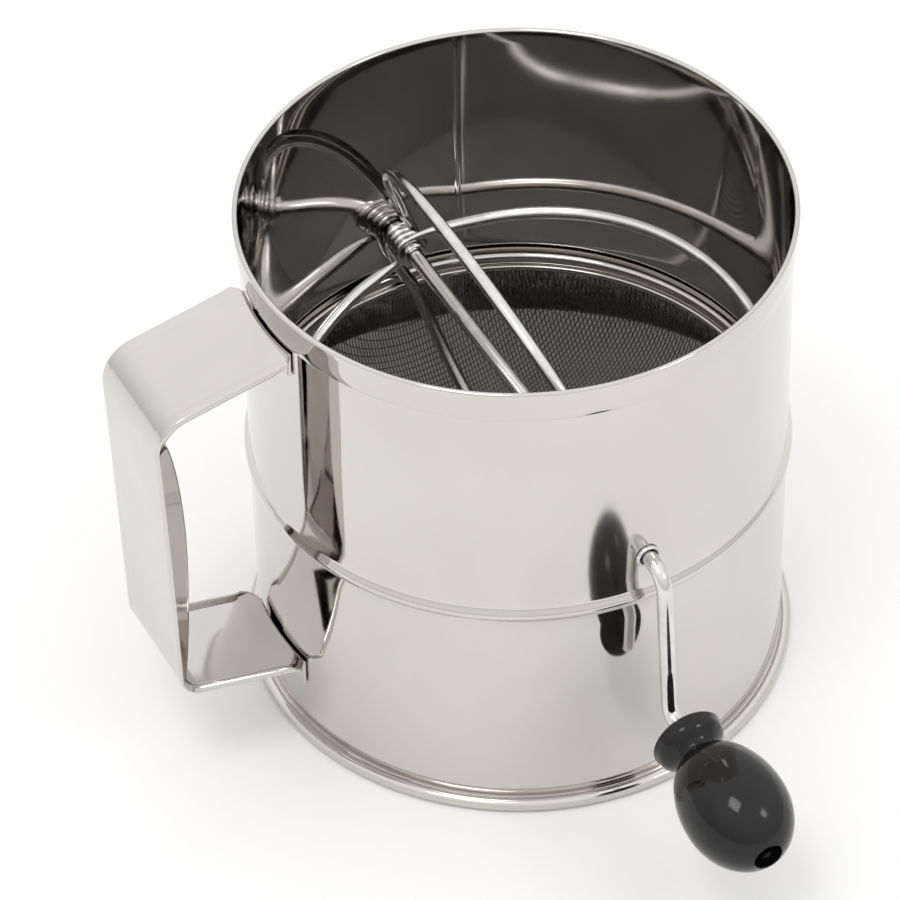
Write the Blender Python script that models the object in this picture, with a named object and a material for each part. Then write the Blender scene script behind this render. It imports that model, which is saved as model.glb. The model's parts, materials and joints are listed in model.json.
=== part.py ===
"""Rotary flour sifter: a steel can with a woven mesh bowl, a crank-turned wire agitator and a strap handle.

Everything is worked out in the can's own frame: its axis is Z, it stands on z = 0, the shaft lies along Y
with the crank at -Y, and the handle is at -X. The empty "sifter" then moves it all so that the origin is
under the middle of the whole object's box.
"""
from math import acos, asin, cos, pi, radians, sin, sqrt, tan

import bmesh
import bpy
from mathutils import Vector

MM = 0.001
GAP = 0.3 * MM

# Can
BODY_RADIUS = 79.5 * MM
BODY_HEIGHT = 164.6 * MM
SHEET = 0.6 * MM
HEM_HEIGHT = 10.2 * MM
HEM_PROUD_TOP = 1.1 * MM
HEM_PROUD_LOW = 0.65 * MM
BEAD_Z = 79.1 * MM
BEAD_PROUD = 1.4 * MM
BEAD_HALF_WIDTH = 3.0 * MM
CURL_RADIUS = 2.04 * MM
CURL_CENTRE_R = 80.6 * MM
CURL_FLAT = 0.6 * MM
BODY_SEGMENTS = 64

# Mesh bowl and its ring
RING_INNER = 76.6 * MM
RING_LOW_Z = 75.0 * MM
RING_HEIGHT = 3.8 * MM
BOWL_RADIUS = 76.9 * MM
BOWL_TOP_Z = 74.0 * MM
BOWL_LOW_Z = 17.6 * MM
BOWL_SHEET = 0.6 * MM
BOWL_SEGMENTS = 48

# Crank: shaft across the can, arm hanging down outside, pin pointing away from the can
SHAFT_Z = 94.0 * MM
ROD_RADIUS = 2.38 * MM
SHAFT_REAR = 82.0 * MM
ARM_REACH = 89.3 * MM
ARM_DROP = 51.1 * MM
ARM_FLARE = radians(5)
PIN_DROOP = radians(5)
ARM_TOP_BEND = 7.0 * MM
ARM_LOW_BEND = 5.0 * MM
ROD_CLEARANCE = 0.3 * MM

# Wire bows
WIRE_RADIUS = 1.95 * MM
BOW_HALF_LENGTH = 72.8 * MM
BOW_POWER = 2.1
BOW_PITCH = 1.2 * MM
LEG_OFFSET = 4.2 * MM
# Each bow, from the crank's end: its angle from +X towards +Z, how far its plane passes to one side of the
# shaft, and how far out it reaches
BOWS = (
    (radians(5.8), 2.0 * MM, 72.8 * MM),
    (radians(197.3), 4.2 * MM, 72.8 * MM),
    (radians(110.9), -4.1 * MM, 69.6 * MM),
    (radians(283.3), -1.5 * MM, 72.8 * MM),
)
EYE_HALF_SPAN = 72.8 * MM
EYE_RADIUS = 5.6 * MM
EYE_THICKNESS = 2.0 * MM
EYE_PITCH = 2.3 * MM
COLLAR_RADIUS = 3.9 * MM
COLLAR_LENGTH = 1.6 * MM

# Knob, lengths measured along the pin from the knob's rear face
KNOB_START = 9.7 * MM
KNOB_LENGTH = 48.5 * MM
KNOB_RADIUS = 15.6 * MM
KNOB_WIDEST = 29.5 * MM
KNOB_COLLAR_RADIUS = 10.5 * MM
KNOB_NECK_RADIUS = 7.0 * MM
KNOB_HOLE_RADIUS = 4.35 * MM
KNOB_HOLE_DEPTH = 8.5 * MM
PIN_END = 43.5 * MM
# Collar's outline, as (share of its radius, millimetres from the rear face)
KNOB_COLLAR_CURVE = ((0.82, 0), (0.94, 0.7), (1, 2), (0.99, 3.4), (0.9, 4.9), (0.77, 6.3), (0.67, 7.8))

# Handle, in the X-Z plane; "reach" is the distance out from the can's axis
HANDLE_WIDTH = 37.4 * MM
HANDLE_SHEET = 0.8 * MM
HANDLE_EDGE_WIDTH = 2.0 * MM
HANDLE_EDGE_DEPTH = 2.2 * MM
GRIP_DEPTH = 7.2 * MM
HANDLE_TOP_Z = 152.9 * MM
HANDLE_TOP_SLOPE = radians(12)
HANDLE_LOW_Z = 30.6 * MM
HANDLE_LOW_SLOPE = radians(11)
HANDLE_TOP_REACH = 122.5 * MM
HANDLE_LOW_REACH = 119.6 * MM
HANDLE_TOP_BEND = 12.0 * MM
HANDLE_LOW_BEND = 8.0 * MM
FLANGE_LENGTH = 9.0 * MM
FLANGE_BEND = 1.1 * MM
WELD_RADIUS = 1.7 * MM
WELD_HEIGHT = 0.3 * MM
WELD_SPACING = 11.5 * MM

# Small shared sizes
CREVICE = 0.14 * MM
HEM_EDGE = 0.25 * MM
RING_EDGE = 1.1 * MM
EYELET_LIP = 0.8 * MM
CUT_REACH = 5 * MM
ROD_CHAMFER = 0.7 * MM
BOW_ROOT = 1.5 * MM
BOW_PIECES = 24
LEG_HALF_WIDTH = 1.3 * MM
EGG_PIECES = 14
FLATTENED = 8.0 * MM
LEG_BEND = 16.0 * MM
KNOB_NECK_Z = 8.8 * MM
EDGE_START = 3.0 * MM
EDGE_FADE = 2.0 * MM
SHEET_BEND = 0.25 * MM
EDGE_BEND = 0.6 * MM
GRIP_BEND = 4.0 * MM
EDGE_TIP = 0.4 * MM
GRIP_STOPS = 7
HANDLE_PIECES = (2, 5, 5, 2)
WELD_GAP = 0.12 * MM
SHARP_ANGLE = radians(35)

# Derived
BORE_RADIUS = ROD_RADIUS + ROD_CLEARANCE
EYELET_BARREL = BORE_RADIUS + 0.3 * MM
WALL_HOLE_RADIUS = EYELET_BARREL + GAP
EYELET_FLANGE = WALL_HOLE_RADIUS + 0.6 * MM
PIN_CORNER = Vector((0, -ARM_REACH - ARM_DROP * tan(ARM_FLARE), -ARM_DROP))

# Finishes: colour, roughness, metallic
STEEL = ((0.78, 0.77, 0.75), 0.12, 1.0)
WIRE = ((0.74, 0.74, 0.74), 0.16, 1.0)
MESH = ((0.34, 0.32, 0.30), 0.35, 1.0)
PLASTIC = ((0.012, 0.011, 0.011), 0.2, 0.0)


# ---------------------------------------------------------------- helpers

def clear_scene():
    for obj in list(bpy.data.objects):
        bpy.data.objects.remove(obj, do_unlink=True)


def material(name, finish):
    colour, roughness, metallic = finish
    mat = bpy.data.materials.new(name)
    mat.use_nodes = True
    shader = mat.node_tree.nodes["Principled BSDF"]
    shader.inputs["Base Color"].default_value = (*colour, 1.0)
    shader.inputs["Roughness"].default_value = roughness
    shader.inputs["Metallic"].default_value = metallic
    mat.diffuse_color = (*colour, 1.0)
    return mat


def place(obj, parent, location, rotation):
    bpy.context.scene.collection.objects.link(obj)
    obj.parent = parent
    obj.location = location
    obj.rotation_euler = rotation
    return obj


def empty(name, parent, location=(0, 0, 0), rotation=(0, 0, 0)):
    return place(bpy.data.objects.new(name, None), parent, location, rotation)


def solid(name, shape, finish, parent, location=(0, 0, 0), rotation=(0, 0, 0)):
    """One named object from (vertices, faces), its faces turned outward, with its own material."""
    verts, faces = shape
    mesh = bpy.data.meshes.new(name)
    mesh.from_pydata([tuple(v) for v in verts], [], faces)
    work = bmesh.new()
    work.from_mesh(mesh)
    bmesh.ops.recalc_face_normals(work, faces=work.faces)
    work.to_mesh(mesh)
    work.free()
    mesh.shade_smooth()
    mesh.set_sharp_from_angle(angle=SHARP_ANGLE)
    mesh.materials.append(material(name, finish))
    return place(bpy.data.objects.new(name, mesh), parent, location, rotation)


def boolean(obj, tool, operation):
    """Cut obj with tool, or join tool to it; the tool stays as a hidden guide."""
    mod = obj.modifiers.new(operation.lower(), "BOOLEAN")
    mod.operation = operation
    mod.object = tool
    mod.solver = "EXACT"
    tool.hide_render = True
    tool.display_type = "WIRE"


def arc(centre, radius, start, end, pieces):
    """Points of an arc, both ends included."""
    angles = [start + (end - start) * i / pieces for i in range(pieces + 1)]
    return [(centre[0] + radius * cos(a), centre[1] + radius * sin(a)) for a in angles]


def turned(outline, segments):
    """A closed outline of (radius, z) points turned about Z; a radius of 0 is one point on the axis."""
    verts = []
    rows = []
    for r, z in outline:
        if r == 0:
            rows.append([len(verts)] * segments)
            verts.append((0, 0, z))
            continue
        rows.append(range(len(verts), len(verts) + segments))
        turns = [2 * pi * s / segments for s in range(segments)]
        verts += [(r * cos(a), r * sin(a), z) for a in turns]
    faces = []
    for here, there in zip(rows, rows[1:] + rows[:1]):
        for s in range(segments):
            n = (s + 1) % segments
            face = list(dict.fromkeys((here[s], here[n], there[n], there[s])))
            if len(face) > 2:
                faces.append(face)
    return verts, faces


def filleted(corners, radii, pieces):
    """(point, direction) pairs along a path whose inner corners are rounded."""
    corners = [Vector(c) for c in corners]
    path = [(corners[0], (corners[1] - corners[0]).normalized())]
    for before, corner, after, radius, count in zip(corners, corners[1:], corners[2:], radii, pieces):
        back = (before - corner).normalized()
        ahead = (after - corner).normalized()
        half = back.angle(ahead) / 2
        centre = corner + (back + ahead).normalized() * (radius / sin(half))
        first = corner + back * (radius / tan(half)) - centre
        last = corner + ahead * (radius / tan(half)) - centre
        turn = first.angle(last)
        for i in range(count + 1):
            t = turn * i / count
            point = centre + (first * sin(turn - t) + last * sin(t)) / sin(turn)
            path.append((point, (last * cos(t) - first * cos(turn - t)).normalized()))
    path.append((corners[-1], (corners[-1] - corners[-2]).normalized()))
    return path


def add_stops(path, index, distances):
    """Insert points on the straight stretch after path[index]; a negative distance is from its end."""
    start, end = path[index][0], path[index + 1][0]
    along = (end - start).normalized()
    path[index + 1:index + 1] = [((start if d > 0 else end) + along * d, along) for d in distances]


def skinned(rings):
    """A solid through equal rings of points, capped at both ends."""
    count = len(rings[0])
    verts = [v for ring in rings for v in ring]
    faces = [tuple(range(count)), tuple(range(len(verts) - count, len(verts)))]
    for r in range(len(rings) - 1):
        low, high = r * count, (r + 1) * count
        for i in range(count):
            j = (i + 1) % count
            faces.append((low + i, low + j, high + j, high + i))
    return verts, faces


def oval(centre, side_a, side_b, sides):
    turns = [2 * pi * i / sides for i in range(sides)]
    return [centre + side_a * cos(a) + side_b * sin(a) for a in turns]


# ---------------------------------------------------------------- can

def bead_wave(radius, pieces):
    """The middle bead's swell on a wall of the given radius, going up."""
    points = []
    for i in range(pieces + 1):
        part = 2 * i / pieces - 1
        points.append((radius + BEAD_PROUD * cos(part * pi / 2) ** 2, BEAD_Z + BEAD_HALF_WIDTH * part))
    return points


def shell_outline():
    """The sheet's section: up the inside, over the hem, down the outside, round the rolled edge."""
    inner = BODY_RADIUS - SHEET
    roll = (SHEET + HEM_PROUD_TOP) / 2
    hem_face = BODY_RADIUS + HEM_PROUD_LOW
    hem_low = BODY_HEIGHT - HEM_HEIGHT
    flat_turn = asin(CURL_FLAT / CURL_RADIUS)
    curl = (CURL_CENTRE_R, CURL_RADIUS * cos(flat_turn))
    outer_meet = acos((BODY_RADIUS + CREVICE - CURL_CENTRE_R) / CURL_RADIUS)
    inner_meet = acos((inner - CURL_CENTRE_R) / CURL_RADIUS)
    points = bead_wave(inner, 8)
    points += arc((inner + roll, BODY_HEIGHT - roll), roll, pi, 0, 6)
    points += [(hem_face, hem_low + HEM_EDGE), (hem_face - HEM_EDGE, hem_low), (BODY_RADIUS, hem_low)]
    points += bead_wave(BODY_RADIUS, 8)[::-1]
    points += [(BODY_RADIUS, curl[1] + CURL_RADIUS + HEM_EDGE)]
    points += arc(curl, CURL_RADIUS, outer_meet, flat_turn - pi / 2, 7)
    points += arc(curl, CURL_RADIUS, -flat_turn - pi / 2, inner_meet - 2 * pi, 4)
    return points


def build_shell(root):
    shell = solid("body_shell", turned(shell_outline(), BODY_SEGMENTS), STEEL, root)
    for name, y in (("shaft_hole_front", -BODY_RADIUS), ("shaft_hole_rear", BODY_RADIUS)):
        side = Vector((WALL_HOLE_RADIUS, 0, 0))
        up = Vector((0, 0, WALL_HOLE_RADIUS))
        ends = [Vector((0, y + reach, SHAFT_Z)) for reach in (-CUT_REACH, CUT_REACH)]
        cutter = solid(name, skinned([oval(end, side, up, 20) for end in ends]), STEEL, root)
        boolean(shell, cutter, "DIFFERENCE")


def build_bowl(root):
    depth = BOWL_TOP_Z - BOWL_LOW_Z
    rim_top = RING_LOW_Z - GAP
    rim_outer = BODY_RADIUS - SHEET - 2 * GAP
    turns = [pi / 2 * i / 9 for i in range(10)]
    inside = [(BOWL_RADIUS * sin(a), BOWL_TOP_Z - depth * cos(a)) for a in turns]
    wide, deep = BOWL_RADIUS + BOWL_SHEET, depth + BOWL_SHEET
    outside = [(wide * sin(a), BOWL_TOP_Z - deep * cos(a)) for a in turns]
    rim = [(BOWL_RADIUS, rim_top), (rim_outer, rim_top), (rim_outer, BOWL_TOP_Z)]
    outline = inside + rim + outside[::-1]
    solid("mesh_screen", turned(outline, BOWL_SEGMENTS), MESH, root)


def build_ring(root):
    outer = BODY_RADIUS - SHEET - GAP
    round_ = RING_EDGE
    high = RING_LOW_Z + RING_HEIGHT
    outline = arc((RING_INNER + round_, RING_LOW_Z + round_), round_, 1.5 * pi, pi, 3)
    outline += arc((RING_INNER + round_, high - round_), round_, pi, pi / 2, 3)
    outline += [(outer, high), (outer, RING_LOW_Z)]
    solid("screen_ring", turned(outline, BODY_SEGMENTS), STEEL, root)


def build_bearings(root):
    """An eyelet in each wall; its own Z points out of the can and z = 0 is the wall's outer face."""
    inner_face = -SHEET - 1.5 * GAP
    outline = [
        (BORE_RADIUS, inner_face - EYELET_LIP),
        (BORE_RADIUS, GAP + EYELET_LIP),
        (EYELET_BARREL, GAP + EYELET_LIP * 1.2),
        (EYELET_FLANGE - HEM_EDGE, GAP + EYELET_LIP),
        (EYELET_FLANGE, GAP + EYELET_LIP / 2),
        (EYELET_FLANGE, GAP),
        (EYELET_BARREL, GAP),
        (EYELET_BARREL, inner_face),
        (EYELET_FLANGE, inner_face),
        (EYELET_FLANGE - HEM_EDGE, inner_face - EYELET_LIP),
    ]
    shape = turned(outline, 20)
    solid("bearing_front", shape, STEEL, root, (0, -BODY_RADIUS, SHAFT_Z), (pi / 2, 0, 0))
    solid("bearing_rear", shape, STEEL, root, (0, BODY_RADIUS, SHAFT_Z), (-pi / 2, 0, 0))


# ---------------------------------------------------------------- crank and agitator

def build_rod(crank):
    """Shaft, arm and knob pin as one bent rod, in the Y-Z plane of the crank."""
    pin_tip = pin_point(KNOB_START + PIN_END)
    corners = [Vector((0, SHAFT_REAR, 0)), Vector((0, -ARM_REACH, 0)), PIN_CORNER, pin_tip]
    path = filleted(corners, (ARM_TOP_BEND, ARM_LOW_BEND), (5, 5))
    tips = (path[0], path[-1])
    path[0] = (tips[0][0] + tips[0][1] * ROD_CHAMFER, tips[0][1])
    path[-1] = (tips[1][0] - tips[1][1] * ROD_CHAMFER, tips[1][1])
    side = Vector((1, 0, 0))
    full = [oval(p, side * ROD_RADIUS, side.cross(d) * ROD_RADIUS, 12) for p, d in path]
    small = ROD_RADIUS - ROD_CHAMFER
    ends = [oval(p, side * small, side.cross(d) * small, 12) for p, d in tips]
    solid("crank_rod", skinned([ends[0]] + full + [ends[1]]), STEEL, crank)


def build_bow(crank, number, shift):
    """A wire bow that bulges along its own X; its legs run past one side of the shaft into an eye each."""
    name = f"agitator_wire_{number}"
    angle, offset, depth = BOWS[number - 1]
    leg = LEG_OFFSET if offset > 0 else -LEG_OFFSET
    start = asin(BOW_ROOT / depth)
    flat = EYE_THICKNESS / 2 - HEM_EDGE / 2
    points = []
    for i in range(BOW_PIECES + 1):
        t = start + (pi - 2 * start) * i / BOW_PIECES
        out = depth * sin(t) ** (2 / BOW_POWER)
        along = abs(cos(t)) ** (2 / BOW_POWER) * (1 if cos(t) > 0 else -1)
        loose = min(max((out - EYE_RADIUS) / LEG_BEND, 0), 1)
        centre = -shift * (EYE_PITCH + (BOW_PITCH - EYE_PITCH) * loose)
        points.append(Vector((out, centre - along * BOW_HALF_LENGTH, leg + (offset - leg) * loose)))
    rings = []
    for i, point in enumerate(points):
        ahead = (points[min(i + 1, BOW_PIECES)] - points[max(i - 1, 0)]).normalized()
        part = min(max((point.x - EYE_RADIUS) / FLATTENED, 0), 1)
        if part == 0:
            ahead = Vector((1 if i < BOW_PIECES / 2 else -1, 0, 0))
        thick = flat + (WIRE_RADIUS - flat) * part
        wide = LEG_HALF_WIDTH + (WIRE_RADIUS - LEG_HALF_WIDTH) * part
        rings.append(oval(point, Vector((0, 0, 1)) * wide, Vector((0, 0, 1)).cross(ahead) * thick, 8))
    bow = solid(name, skinned(rings), WIRE, crank, (0, 0, 0), (0, -angle, 0))
    shape = turned(chamfered(EYE_RADIUS, EYE_THICKNESS / 2, HEM_EDGE * 2), 16)
    middle = -shift * EYE_PITCH
    for end, y in (("front", middle - EYE_HALF_SPAN), ("rear", middle + EYE_HALF_SPAN)):
        eye = solid(f"eye_{end}_{number}", shape, WIRE, bow, (0, y, 0), (pi / 2, 0, 0))
        boolean(bow, eye, "UNION")


def chamfered(radius, half, edge):
    """The outline of a washer on the shaft, its outer edges chamfered."""
    outer = [(radius - edge, -half), (radius, edge - half), (radius, half - edge), (radius - edge, half)]
    return [(BORE_RADIUS, -half)] + outer + [(BORE_RADIUS, half)]


def build_agitator(crank):
    """Four equal bows; their eyes stand side by side on the shaft, so each bow is shifted along it."""
    for i in range(len(BOWS)):
        build_bow(crank, i + 1, 1.5 - i)
    inner_eye = EYE_HALF_SPAN - 1.5 * EYE_PITCH
    collar_y = inner_eye - EYE_THICKNESS / 2 - GAP - COLLAR_LENGTH / 2
    shape = turned(chamfered(COLLAR_RADIUS, COLLAR_LENGTH / 2, HEM_EDGE), 16)
    for name, y in (("collar_front", -collar_y), ("collar_rear", collar_y)):
        solid(name, shape, STEEL, crank, (0, y, 0), (pi / 2, 0, 0))


def knob_outline():
    """Flared collar, neck and egg, then back through the end hole and the bore."""
    floor = KNOB_LENGTH - KNOB_HOLE_DEPTH
    points = [(BORE_RADIUS, 0)]
    points += [(KNOB_COLLAR_RADIUS * share, height * MM) for share, height in KNOB_COLLAR_CURVE]
    end = KNOB_LENGTH - HEM_EDGE
    rear_half = (KNOB_WIDEST - KNOB_NECK_Z) / sqrt(1 - (KNOB_NECK_RADIUS / KNOB_RADIUS) ** 2)
    tip_radius = KNOB_HOLE_RADIUS + 2.5 * HEM_EDGE
    front_half = (end - KNOB_WIDEST) / sqrt(1 - (tip_radius / KNOB_RADIUS) ** 2)
    first = -asin((KNOB_WIDEST - KNOB_NECK_Z) / rear_half)
    last = asin((end - KNOB_WIDEST) / front_half)
    for i in range(EGG_PIECES + 1):
        turn = first + (last - first) * i / EGG_PIECES
        reach = rear_half if turn < 0 else front_half
        points.append((KNOB_RADIUS * cos(turn), KNOB_WIDEST + reach * sin(turn)))
    points += [(KNOB_HOLE_RADIUS + HEM_EDGE, KNOB_LENGTH), (KNOB_HOLE_RADIUS, KNOB_LENGTH - HEM_EDGE)]
    points += [(KNOB_HOLE_RADIUS, floor), (BORE_RADIUS, floor)]
    return points


def build_knob(crank):
    """The knob turns on the pin; its empty's Z runs along the pin, away from the can."""
    axis = empty("knob_axis", crank, pin_point(KNOB_START), (pi / 2 + PIN_DROOP, 0, 0))
    solid("knob", turned(knob_outline(), 28), PLASTIC, axis)
    low = KNOB_LENGTH - KNOB_HOLE_DEPTH + GAP
    rim = KNOB_HOLE_RADIUS - GAP
    outline = [(BORE_RADIUS, low), (rim, low), (rim, low + 0.5 * MM), (BORE_RADIUS, low + 0.9 * MM)]
    solid("knob_retainer", turned(outline, 16), WIRE, axis)


# ---------------------------------------------------------------- handle

def wall_reach(y, radius):
    """How far out in -X a cylinder of the given radius lies at this y."""
    return sqrt(radius ** 2 - y ** 2)


def top_height(reach):
    return HANDLE_TOP_Z - (reach - BODY_RADIUS) * tan(HANDLE_TOP_SLOPE)


def low_height(reach):
    return HANDLE_LOW_Z + (reach - BODY_RADIUS) * tan(HANDLE_LOW_SLOPE)


def handle_path(y):
    """The strap's outer face at this y, from the top flange round to the bottom one, x being the reach."""
    near = wall_reach(y, BODY_RADIUS + GAP)
    far = near + HANDLE_SHEET
    corners = [
        (near, 0, top_height(near) - FLANGE_LENGTH),
        (near, 0, top_height(near)),
        (HANDLE_TOP_REACH, 0, top_height(HANDLE_TOP_REACH)),
        (HANDLE_LOW_REACH, 0, low_height(HANDLE_LOW_REACH)),
        (far, 0, low_height(far)),
        (far, 0, low_height(far) - FLANGE_LENGTH),
    ]
    radii = (FLANGE_BEND, HANDLE_TOP_BEND, HANDLE_LOW_BEND, FLANGE_BEND)
    path = filleted(corners, radii, HANDLE_PIECES)
    top_run, grip_run, low_run = (sum(HANDLE_PIECES[:n]) + n for n in (1, 2, 3))
    edge_stops = (EDGE_START, EDGE_START + EDGE_FADE)
    add_stops(path, low_run, [-distance for distance in edge_stops[::-1]])
    grip = (path[grip_run + 1][0] - path[grip_run][0]).length
    add_stops(path, grip_run, [grip * i / (GRIP_STOPS + 1) for i in range(1, GRIP_STOPS + 1)])
    add_stops(path, top_run, edge_stops)
    return path


def strap_depths():
    """How deep the edges are turned in, and how roundly, at each stop of handle_path."""
    sheet = (HANDLE_SHEET, SHEET_BEND)
    edge = (HANDLE_EDGE_DEPTH, EDGE_BEND)
    grip = []
    for i in range(1, GRIP_STOPS + 1):
        swell = sin(pi * (i / (GRIP_STOPS + 1)) ** 0.75)
        deep = HANDLE_EDGE_DEPTH + (GRIP_DEPTH - HANDLE_EDGE_DEPTH) * swell
        grip.append((deep, EDGE_BEND + (GRIP_BEND - EDGE_BEND) * swell))
    first, top, low, last = HANDLE_PIECES
    return [sheet] * (first + 3) + [edge] * (top + 2) + grip + [edge] * (low + 2) + [sheet] * (last + 3)


def strap_section(deep, bend):
    """The strap's section as (y, depth) points: 0 on the outer face, deep at its edges' tips."""
    half = HANDLE_WIDTH / 2
    lip = half - HANDLE_EDGE_WIDTH
    tip = min(EDGE_TIP, 0.3 * deep)
    fold = lip - 0.9 * bend
    outer = [((half - bend) * i / 3, 0) for i in range(-3, 4)]
    edge = [(half - 0.3 * bend, 0.3 * bend), (half, bend), (half, deep - tip), (half - tip, deep)]
    edge += [(lip, deep), (lip - 0.05 * MM, min(deep, HANDLE_SHEET / 2 + bend + SHEET_BEND))]
    inner = [(fold * i / 3, HANDLE_SHEET) for i in range(3, -4, -1)]
    return outer + edge + inner + [(-y, depth) for y, depth in edge[::-1]]


def build_handle(root):
    rings = []
    for i, (deep, bend) in enumerate(strap_depths()):
        ring = []
        for y, depth in strap_section(deep, bend):
            point, ahead = handle_path(y)[i]
            ring.append(Vector((-point.x - ahead.z * depth, y, point.z - ahead.x * depth)))
        rings.append(ring)
    solid("handle_band", skinned(rings), STEEL, root)


def build_welds(root):
    """Three spot welds on each of the strap's flanges."""
    outline = [(0, 0), (WELD_RADIUS, 0), (WELD_RADIUS * 0.8, WELD_HEIGHT), (0, WELD_HEIGHT)]
    distance = BODY_RADIUS + GAP + HANDLE_SHEET + WELD_GAP
    top_row = HANDLE_TOP_Z - FLANGE_LENGTH / 2 - FLANGE_BEND
    bottom_row = HANDLE_LOW_Z - FLANGE_LENGTH / 2
    for row, z in (("top", top_row), ("bottom", bottom_row)):
        for i in range(3):
            turn = asin((i - 1) * WELD_SPACING / distance)
            out = Vector((-cos(turn), sin(turn), 0))
            spin = out.to_track_quat("Z", "Y").to_euler()
            place_at = out * distance + Vector((0, 0, z))
            solid(f"weld_{row}_{i + 1}", turned(outline, 12), STEEL, root, place_at, spin)


# ---------------------------------------------------------------- whole

def centre_on_origin(root):
    """Move the whole object so that its box stands on z = 0 with its middle over the origin."""
    bpy.context.view_layer.update()
    shown = [obj for obj in bpy.data.objects if obj.type == "MESH" and not obj.hide_render]
    points = [obj.matrix_world @ vert.co for obj in shown for vert in obj.data.vertices]
    for axis in (0, 1):
        values = [point[axis] for point in points]
        root.location[axis] = -(min(values) + max(values)) / 2


def pin_point(distance):
    """A point on the knob's pin, in the crank's frame, this far from the corner of arm and pin."""
    return PIN_CORNER + Vector((0, -cos(PIN_DROOP), -sin(PIN_DROOP))) * distance


clear_scene()
sifter = empty("sifter", None)
build_shell(sifter)
build_bowl(sifter)
build_ring(sifter)
build_bearings(sifter)
build_handle(sifter)
build_welds(sifter)
crank_empty = empty("crank", sifter, (0, 0, SHAFT_Z))
build_rod(crank_empty)
build_agitator(crank_empty)
build_knob(crank_empty)
centre_on_origin(sifter)
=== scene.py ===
"""Looks of the rotary flour sifter: fine pieces, finishes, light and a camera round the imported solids.

Every piece is built in its own body's frame, in metres: the can's (its axis is Z and it stands on z = 0,
the handle at -X, the crank at -Y), the crank's (origin on the shaft) or the knob's (Z along the pin).
"""
import json
from math import acos, asin, ceil, cos, exp, hypot, pi, radians, sin, sqrt, tan

import bmesh
import bpy
from mathutils import Matrix, Vector


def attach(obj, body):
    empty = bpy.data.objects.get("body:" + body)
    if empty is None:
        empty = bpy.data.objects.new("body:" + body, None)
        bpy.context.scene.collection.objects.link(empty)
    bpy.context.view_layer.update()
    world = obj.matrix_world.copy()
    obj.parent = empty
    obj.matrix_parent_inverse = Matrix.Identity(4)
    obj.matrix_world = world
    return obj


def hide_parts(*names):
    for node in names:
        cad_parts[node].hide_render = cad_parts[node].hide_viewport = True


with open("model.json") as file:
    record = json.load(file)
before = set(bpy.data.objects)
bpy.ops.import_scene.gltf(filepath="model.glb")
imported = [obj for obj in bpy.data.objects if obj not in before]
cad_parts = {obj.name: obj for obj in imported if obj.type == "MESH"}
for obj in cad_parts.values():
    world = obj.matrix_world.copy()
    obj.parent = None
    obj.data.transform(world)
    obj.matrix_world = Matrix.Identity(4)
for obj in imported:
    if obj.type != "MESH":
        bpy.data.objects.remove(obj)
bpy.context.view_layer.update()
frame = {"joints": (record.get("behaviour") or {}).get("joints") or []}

MM = 0.001

# ---------------------------------------------------------------- sizes, as in the solids or finer

BODY_RADIUS = 79.5 * MM
BODY_HEIGHT = 164.6 * MM
SHEET = 0.6 * MM
HEM_HEIGHT = 10.2 * MM
HEM_PROUD_TOP = 1.1 * MM
HEM_PROUD_LOW = 0.65 * MM
BEAD_Z = 79.1 * MM
BEAD_PROUD = 1.4 * MM
BEAD_HALF_WIDTH = 3.0 * MM
CURL_RADIUS = 2.03 * MM
CURL_CENTRE_R = 80.57 * MM
CREVICE = 0.14 * MM
HEM_CORNER = 0.3 * MM
SHELL_SEGMENTS = 576
# The outer lap seam, the ridge of the seam inside and the gap in the rim hem: turns from +X and sizes
OUTER_SEAM = radians(181.3)
INNER_SEAM = radians(75.6)
HEM_GAP = radians(177.8)
SEAM_HALF_TURN = 0.0008
SEAM_STEP = 0.32 * MM
RIDGE_HEIGHT = 0.22 * MM
RIDGE_FLAT = 0.35 * MM
RIDGE_FOOT = 0.9 * MM
RIDGE_COLUMNS = (-0.95, -0.6, -0.35, 0.35, 0.6, 0.95)
RIDGE_TOP_Z = BODY_HEIGHT - 4.5 * MM
WALL_WANDER = 0.035 * MM
SHAFT_HOLE_RADIUS = 3.3 * MM

RING_INNER = 76.6 * MM
RING_LOW_Z = 75.0 * MM
RING_HEIGHT = 3.8 * MM
RING_ROUND = 1.3 * MM
BOWL_RADIUS = 77.1 * MM
BOWL_TOP_Z = 74.0 * MM
BOWL_LOW_Z = 17.3 * MM
CLOTH_PITCH = 1.05 * MM
CLOTH_WIRE = 0.165 * MM

ROD_RADIUS = 2.38 * MM
SHAFT_REAR = 82.0 * MM
ARM_REACH = 89.3 * MM
ARM_DROP = 51.1 * MM
ARM_FLARE = radians(5)
PIN_DROOP = radians(5)
ARM_TOP_BEND = 7.0 * MM
ARM_LOW_BEND = 5.0 * MM
BORE_RADIUS = ROD_RADIUS + 0.3 * MM
EYELET_RADIUS = 3.75 * MM
EYELET_LIP = 1.0 * MM

WIRE_RADIUS = 1.95 * MM
BOW_HALF_LENGTH = 72.8 * MM
BOW_POWER = 2.1
BOW_PITCH = 1.2 * MM
# Each bow: its angle from +X towards +Z, how far its plane passes to one side of the shaft, its reach
BOWS = (
    (radians(5.8), 2.0 * MM, 72.8 * MM),
    (radians(197.3), 4.2 * MM, 72.8 * MM),
    (radians(110.9), -4.1 * MM, 69.6 * MM),
    (radians(283.3), -1.5 * MM, 72.8 * MM),
)
EYE_RADIUS = 5.6 * MM
EYE_THICKNESS = 2.0 * MM
EYE_PITCH = 2.3 * MM
LEG_START = 13.5 * MM
LEG_BEND = 16.0 * MM
COLLAR_RADIUS = 3.9 * MM
COLLAR_LENGTH = 1.6 * MM
COLLAR_GAP = 0.3 * MM
COLLAR_ROUND = 0.45 * MM

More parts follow.
